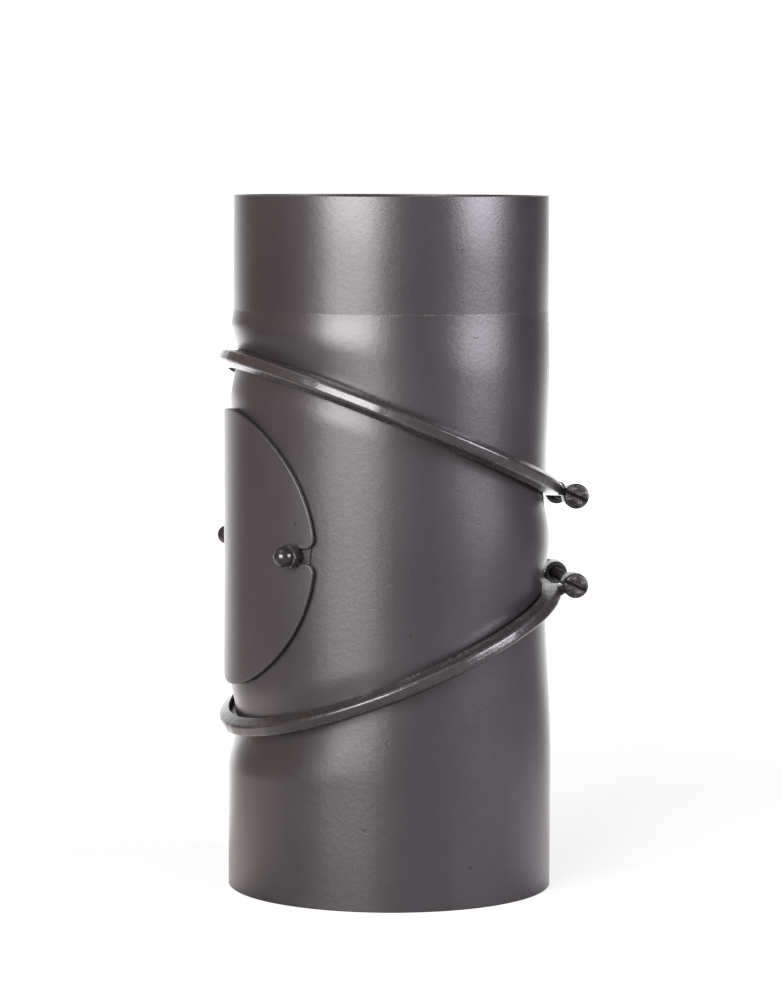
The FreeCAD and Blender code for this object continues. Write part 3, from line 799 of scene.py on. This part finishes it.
clamp_paint = stove_paint("thick_clamp_paint", (0.030, 0.026, 0.028, 1), (0.056, 0.049, 0.052, 1), 0.26, 1.3)
for ring, joint, side in CLAMPS:
    grid, wear = band_grid(PAINT_RUNS[ring])
    turns, count = wear.shape
    faces = np.concatenate([grid_faces(turns, count, flip=True), *end_caps(turns, count // 2)])
    make_piece(ring + "_clamp_channel", set_in(grid, *clamp_axes(joint, side)), faces, ring + "_clamp",
               [ring + "_clamp_band"], clamp_paint, wear, sharp=60)


# Barrels: short steel sleeves, each welded by a foot to one end of a band. The screw passes through
# the near one, under its head, and draws the far one towards it.
BARREL_RADIUS = 5.5
BARREL_LENGTH = 8.0
SCREW_RADIUS = BAND_OUT + 4.2
SLEEVE_BORE = 3.3
SLEEVE_COLUMNS = 64
FOOT_START = 4.2
FOOT_HALF_WIDTH = 2.2
FOOT_CORNER = 0.35
FOOT_COLUMNS = 48


def screw_axes(joint, side):
    """Axes of a clamp's screw: z along it towards the back, y in towards the pipe."""
    origin, gap, back, axis = clamp_axes(joint, side)
    return origin + gap * SCREW_RADIUS, -axis, -gap, back


def lathe(line, columns):
    """Line of (radius, height) turned about the z axis."""
    return rings_of(line[:, :1], full_turn(columns), line[:, 1:])


def foot_points(low):
    """Rounded block from inside the sleeve down to the band's curved face. Each ring is a rounded
    rectangle, whose sides are a low power of cosine and sine, and the last ones spread a little as a
    weld does."""
    turn = full_turn(FOOT_COLUMNS)
    wide = np.sign(np.cos(turn)) * np.abs(np.cos(turn)) ** FOOT_CORNER
    long = np.sign(np.sin(turn)) * np.abs(np.sin(turn)) ** FOOT_CORNER
    share = np.array([0, 0.25, 0.5, 0.7, 0.85, 0.95, 1.0])[:, None]
    spread = smooth_step((share - 0.6) / 0.4)
    x = FOOT_HALF_WIDTH * wide * (1 + 0.22 * spread)
    z = low + BARREL_LENGTH / 2 + (BARREL_LENGTH / 2 - 0.5) * long * (1 + 0.08 * spread)
    seat = SCREW_RADIUS - np.sqrt((BAND_OUT - 0.5) ** 2 - z ** 2)
    return np.stack([x, FOOT_START + (seat - FOOT_START) * share, z], -1)


sleeve_line = soften([(SLEEVE_BORE, 4, 0), (SLEEVE_BORE, 0, 0.3), (BARREL_RADIUS, 0, 0.7),
                      (BARREL_RADIUS, BARREL_LENGTH, 0.7), (SLEEVE_BORE, BARREL_LENGTH, 0.3),
                      (SLEEVE_BORE, 4, 0)], 5)[:-1]
for ring, joint, side in CLAMPS:
    for end, low in (("near", -BARREL_SPACING / 2 - BARREL_LENGTH), ("far", BARREL_SPACING / 2)):
        sleeve = lathe(sleeve_line + [0, low], SLEEVE_COLUMNS)
        foot = foot_points(low)
        first = sleeve[..., 0].size
        last = first + foot[:-1, :, 0].size
        foot_faces = grid_faces(len(foot), FOOT_COLUMNS, flip=True) + first
        foot_ring = np.arange(FOOT_COLUMNS)
        faces = [*grid_faces(len(sleeve), SLEEVE_COLUMNS, closed=True), *foot_faces,
                 first + foot_ring, last + foot_ring[::-1]]
        points = np.concatenate([sleeve.reshape(-1, 3), foot.reshape(-1, 3)])
        make_piece(ring + "_" + end + "_sleeve", set_in(points, *screw_axes(joint, side)), faces,
                   ring + "_clamp", [ring + "_" + end + "_barrel"], clamp_paint, sharp=50)


# Clamp screws and their nuts: M6 slotted pan heads with rolled threads, blackened, and plain
# hexagon nuts behind the far barrels. Turning the screw closes the band on the flanges.
HEAD_RADIUS = 6.0
HEAD_HEIGHT = 3.6
SLOT_WIDTH = 1.6
SLOT_DEPTH = 1.4
NUT_HEIGHT = 5.0
SCREW_TIP = 31.7
SCREW_COLUMNS = 72
SLOT_TURNS = {"lower": 47.5, "upper": 2.5}
DOT_RADIUS = 3.6
DOT_WIDTH = 0.75
DOT_RISE = 0.33
black_steel = bare_steel("black_steel", (0.035, 0.032, 0.033, 1), (0.13, 0.12, 0.12, 1), 0.38, 0.7)


def screw_grid(slot_turn):
    """Pan head, then shank with its thread, as one grid from the head's middle to the tip. Four
    small dots stand up from the head in a square about the slot: each is e to minus the fourth
    power of the distance over the dot's width."""
    seat = -BARREL_SPACING / 2 - BARREL_LENGTH
    face = seat - HEAD_HEIGHT
    line = filled(soften([(0, face + 0.35, 0), (HEAD_RADIUS, face + 0.5, 1.4), (HEAD_RADIUS, seat, 0.25),
                          (THREAD_TOP, seat, 0.2), (THREAD_TOP, seat + 1, 0)], 8), 0.35)
    head = lathe(line, SCREW_COLUMNS)
    turn = math.radians(slot_turn) + math.pi / 4 + np.arange(4) * math.pi / 2
    away = np.hypot(head[..., 0, None] - DOT_RADIUS * np.cos(turn),
                    head[..., 1, None] - DOT_RADIUS * np.sin(turn))
    dots = np.exp(-(away / DOT_WIDTH) ** 4).sum(-1) * (head[..., 2] < face + 1)
    head[..., 2] -= DOT_RISE * dots
    levels = np.concatenate([np.arange(seat + 1.1, SCREW_TIP, THREAD_STEP), [SCREW_TIP] * 2])
    edge = tip_edge(levels, SCREW_TIP)
    edge[-1] = 0
    return np.concatenate([head, threaded(levels, edge, seat + 1.5, SCREW_TIP + 2, SCREW_COLUMNS)]), face


def cut_slot(piece, slot_turn, face, axes):
    """The driver slot is a long block taken out of the head by a Boolean, which is then applied. A share
    of 1 is stored on the slot's floor and lower walls, which the steel darkens there as painted shade."""
    half = np.array([SLOT_WIDTH / 2, HEAD_RADIUS * 2, SLOT_DEPTH * 2])
    corners = [(x, y, z) for x in (-1, 1) for y in (-1, 1) for z in (-1, 1)]
    x, y, z = (np.array(corners, float) * half).T
    cosine, sine = math.cos(math.radians(slot_turn)), math.sin(math.radians(slot_turn))
    block = np.stack([x * cosine - y * sine, x * sine + y * cosine, z + (face - SLOT_DEPTH)], 1)
    mesh = bpy.data.meshes.new("slot_block")
    quads = [(0, 1, 3, 2), (4, 6, 7, 5), (0, 4, 5, 1), (2, 3, 7, 6), (0, 2, 6, 4), (1, 5, 7, 3)]
    mesh.from_pydata((set_in(block, *axes) * MILLIMETRE).tolist(), [], quads)
    cutter = bpy.data.objects.new("slot_block", mesh)
    bpy.context.scene.collection.objects.link(cutter)
    cut = piece.modifiers.new("slot", "BOOLEAN")
    cut.object = cutter
    cut.operation = "DIFFERENCE"
    bpy.context.view_layer.update()
    slotted = bpy.data.meshes.new_from_object(piece.evaluated_get(bpy.context.evaluated_depsgraph_get()))
    piece.modifiers.clear()
    piece.data = slotted
    bpy.data.objects.remove(cutter)
    slotted.set_sharp_from_angle(angle=math.radians(38))
    place = np.zeros(3 * len(slotted.vertices))
    slotted.vertices.foreach_get("co", place)
    origin, *turned = axes
    x, y, z = ((place.reshape(-1, 3) / MILLIMETRE - origin) @ np.transpose(turned)).T
    across, deep = x * cosine + y * sine, z - face
    # The slot's floor and lower walls, which the steel paints near black as painted shade.
    slot_shade_mask = (np.abs(across) < SLOT_WIDTH / 2 + 0.05) & (deep > SLOT_DEPTH / 2) & (deep < HEAD_HEIGHT - 0.5)
    slotted.attributes.new("painted_slot_shade", "FLOAT", "POINT").data.foreach_set("value", slot_shade_mask.astype(float))


nut_line = filled(soften([
    (BORE_RADIUS, 2.5, 0), (BORE_RADIUS, 0, 0.3), (4.9, 0, 0.15), (CORNER_RADIUS, 0.5, 0.05),
    (CORNER_RADIUS, NUT_HEIGHT - 0.5, 0.05), (4.9, NUT_HEIGHT, 0.15), (BORE_RADIUS, NUT_HEIGHT, 0.3),
    (BORE_RADIUS, 2.5, 0)], 3)[:-1], 0.25)
nut_grid = hexagon_grid(nut_line) + [0, 0, BARREL_SPACING / 2 + BARREL_LENGTH]
for ring, joint, side in CLAMPS:
    axes = screw_axes(joint, side)
    grid, face = screw_grid(SLOT_TURNS[ring])
    screw = make_piece(ring + "_slotted_screw", set_in(grid, *axes), grid_faces(len(grid), SCREW_COLUMNS),
                       ring + "_screw", [ring + "_clamp_screw"], black_steel, sharp=45)
    cut_slot(screw, SLOT_TURNS[ring], face, axes)
    screw.data.materials.clear()
    screw.data.materials.append(black_steel)
    make_piece(ring + "_hexagon_nut", set_in(nut_grid, *axes),
               grid_faces(len(nut_line), HEXAGON_COLUMNS, closed=True), ring + "_clamp",
               [ring + "_clamp_nut"], black_steel, sharp=40)


# Studio: a matt white table that runs back to a white wall, in a room that is warm on one side and
# dark on another as the paint shows it.
WHITE = (1, 1, 1, 1)
BACKDROP_SIDE = (0.225, 0.974, 0.0)
WARM_SIDE = (-0.72, 0.69, 0.0)
WARM_WALL = (1.15, 0.80, 0.63, 1)
ROOM_WALL = (0.96, 0.925, 0.975, 1)
DARK_SIDE = (0.9455, 0.3256, 0.0)
DARK_SHARE = 0.55
FILL = 0.29
BACKDROP_GLOW = 2.0
TABLE_REACH = 6.0
TABLE_GREY = (0.4, 0.4, 0.4, 1)
TABLE_PALE = 0.6
bpy.context.scene.view_settings.view_transform = "Standard"


def side_share(shade, toward, side, low, high):
    """How far a direction turns to a side: its cosine with the side, eased from low to high."""
    cosine = shade.node("VectorMath", {"operation": "DOT_PRODUCT"}, {0: toward, 1: side}, "Value")
    return cosine.step(low, high)


def rays(shade, kind):
    """1 for light paths of a kind, and 0 for others."""
    return shade.node("LightPath", output="Is " + kind + " Ray")


def room_colour(shade, toward):
    """White to the camera and at the back. Elsewhere a room with a warm wall on one side."""
    seen = rays(shade, "Camera")
    walls = shade.blend(side_share(shade, toward, WARM_SIDE, 0.2, 0.9), ROOM_WALL, WARM_WALL)
    white = seen + (1 - seen) * side_share(shade, toward, BACKDROP_SIDE, 0.64, 0.84)
    return shade.blend(white, walls, WHITE)


def white_table():
    """Matt white that the camera sees a little brighter than it is lit, so that only shadow shows.
    In the paint it shows white close to the pipe and towards the back."""
    material, shader, shade = new_material("white_table")
    shade.tree.nodes.remove(shader)
    where = shade.place()
    distance = shade.node("VectorMath", {"operation": "LENGTH"}, {0: where}, "Value")
    toward = shade.node("VectorMath", {"operation": "NORMALIZE"}, {0: where})
    back = side_share(shade, toward, BACKDROP_SIDE, 0.62, 0.98)
    near = (1 - distance.step(0.15, 0.8)) * side_share(shade, toward, BACKDROP_SIDE, -0.6, 0.2)
    gleam = rays(shade, "Glossy") + rays(shade, "Transmission")
    shown = rays(shade, "Camera") + gleam * (back * 2.7 + near * 1.4)
    strength = (distance.step(0.3, 1.6) * 0.6 + 0.70) * shown
    pale = shade.blend(TABLE_PALE, room_colour(shade, toward), WHITE)
    glow = shade.node("Emission", None, {"Color": pale, "Strength": strength})
    matt = shade.node("BsdfDiffuse", None, {"Color": TABLE_GREY})
    both = shade.node("AddShader", None, {0: matt, 1: glow})
    shade.fill(shade.tree.nodes["Material Output"], {"Surface": both})
    return material


table_mesh = bpy.data.meshes.new("table")
corners = [(x * TABLE_REACH, y * TABLE_REACH, 0) for x, y in ((-1, -1), (1, -1), (1, 1), (-1, 1))]
table_mesh.from_pydata(corners, [], [(0, 1, 2, 3)])
table = bpy.data.objects.new("table", table_mesh)
bpy.context.scene.collection.objects.link(table)
table_mesh.materials.append(white_table())

world = bpy.data.worlds.new("studio")
bpy.context.scene.world = world
world.use_nodes = True
room = Shade(world.node_tree)
toward = room.node("TexCoord", output="Generated")
backdrop = side_share(room, toward, BACKDROP_SIDE, 0.80, 0.985)
dark_side = side_share(room, toward, DARK_SIDE, 0.55, 0.9)
gleam = rays(room, "Glossy") + rays(room, "Transmission")
strength = (rays(room, "Camera") * (1 - FILL) + gleam * backdrop * (BACKDROP_GLOW - FILL) + FILL
            - gleam * dark_side * (DARK_SHARE * FILL))
room.fill(world.node_tree.nodes["Background"], {"Strength": strength, "Color": room_colour(room, toward)})


# Lamps and camera: a wide soft lamp on each side for the long highlights down the pipe, a low one
# that carries the left highlight down to the table, and a weak one overhead. The camera looks
# slightly down on the pipe. Bearings are in degrees and distances in metres.
CAMERA_BEARING = -16.0
CAMERA_PITCH = math.radians(5.037)
CAMERA_ROLL = math.radians(0.194)
CAMERA_PLACE = (-0.4964, -1.7312, 0.3429)
PIPE_MIDDLE = (0, 0, 0.17)
LEFT_WHITE = (0.975, 0.955, 0.945)
RIGHT_WHITE = (0.935, 0.915, 0.985)


def soft_lamp(name, bearing, height, size, power, colour=(1, 1, 1), distance=2.0):
    """Flat soft lamp that faces the pipe's middle from a bearing in degrees, 0 being the camera's."""
    lamp = bpy.data.lights.new(name, "AREA")
    lamp.shape = "RECTANGLE"
    lamp.size, lamp.size_y = size
    lamp.energy = power
    lamp.color = colour
    turn = math.radians(bearing + CAMERA_BEARING - 90)
    lamp_object = bpy.data.objects.new(name, lamp)
    lamp_object.location = (distance * math.cos(turn), distance * math.sin(turn), height)
    aim = np.array(PIPE_MIDDLE) - np.array(lamp_object.location)
    flat = math.hypot(aim[0], aim[1])
    lamp_object.rotation_euler = (math.atan2(flat, -aim[2]), 0, math.atan2(-aim[0], aim[1]))
    bpy.context.scene.collection.objects.link(lamp_object)


soft_lamp("left_lamp", -28.3, 0.79, (1.46, 0.76), 52.0, LEFT_WHITE)
soft_lamp("low_lamp", -27.5, 0.15, (1.4, 0.30), 8.0, LEFT_WHITE)
soft_lamp("right_lamp", 68, 0.75, (1.15, 0.80), 36.0, RIGHT_WHITE)
soft_lamp("top_lamp", -60, 2.2, (1.2, 1.2), 6.0, distance=1.0)

camera = bpy.data.cameras.new("camera")
camera.sensor_width = 36.0
camera.lens = 136.6
camera_object = bpy.data.objects.new("camera", camera)
camera_object.location = CAMERA_PLACE
camera_object.rotation_mode = "QUATERNION"
bearing = math.radians(CAMERA_BEARING)
flat = math.cos(CAMERA_PITCH)
forward = np.array([-math.sin(bearing) * flat, math.cos(bearing) * flat, -math.sin(CAMERA_PITCH)])
level_right = np.array([math.cos(bearing), math.sin(bearing), 0])
level_up = np.cross(level_right, forward)
right = level_right * math.cos(CAMERA_ROLL) + level_up * math.sin(CAMERA_ROLL)
up = level_up * math.cos(CAMERA_ROLL) - level_right * math.sin(CAMERA_ROLL)
camera_axes = Matrix(np.stack([right, up, -forward], 1).tolist())
camera_object.rotation_quaternion = camera_axes.to_quaternion()
bpy.context.scene.collection.objects.link(camera_object)
bpy.context.scene.camera = camera_object

bpy.context.view_layer.update()
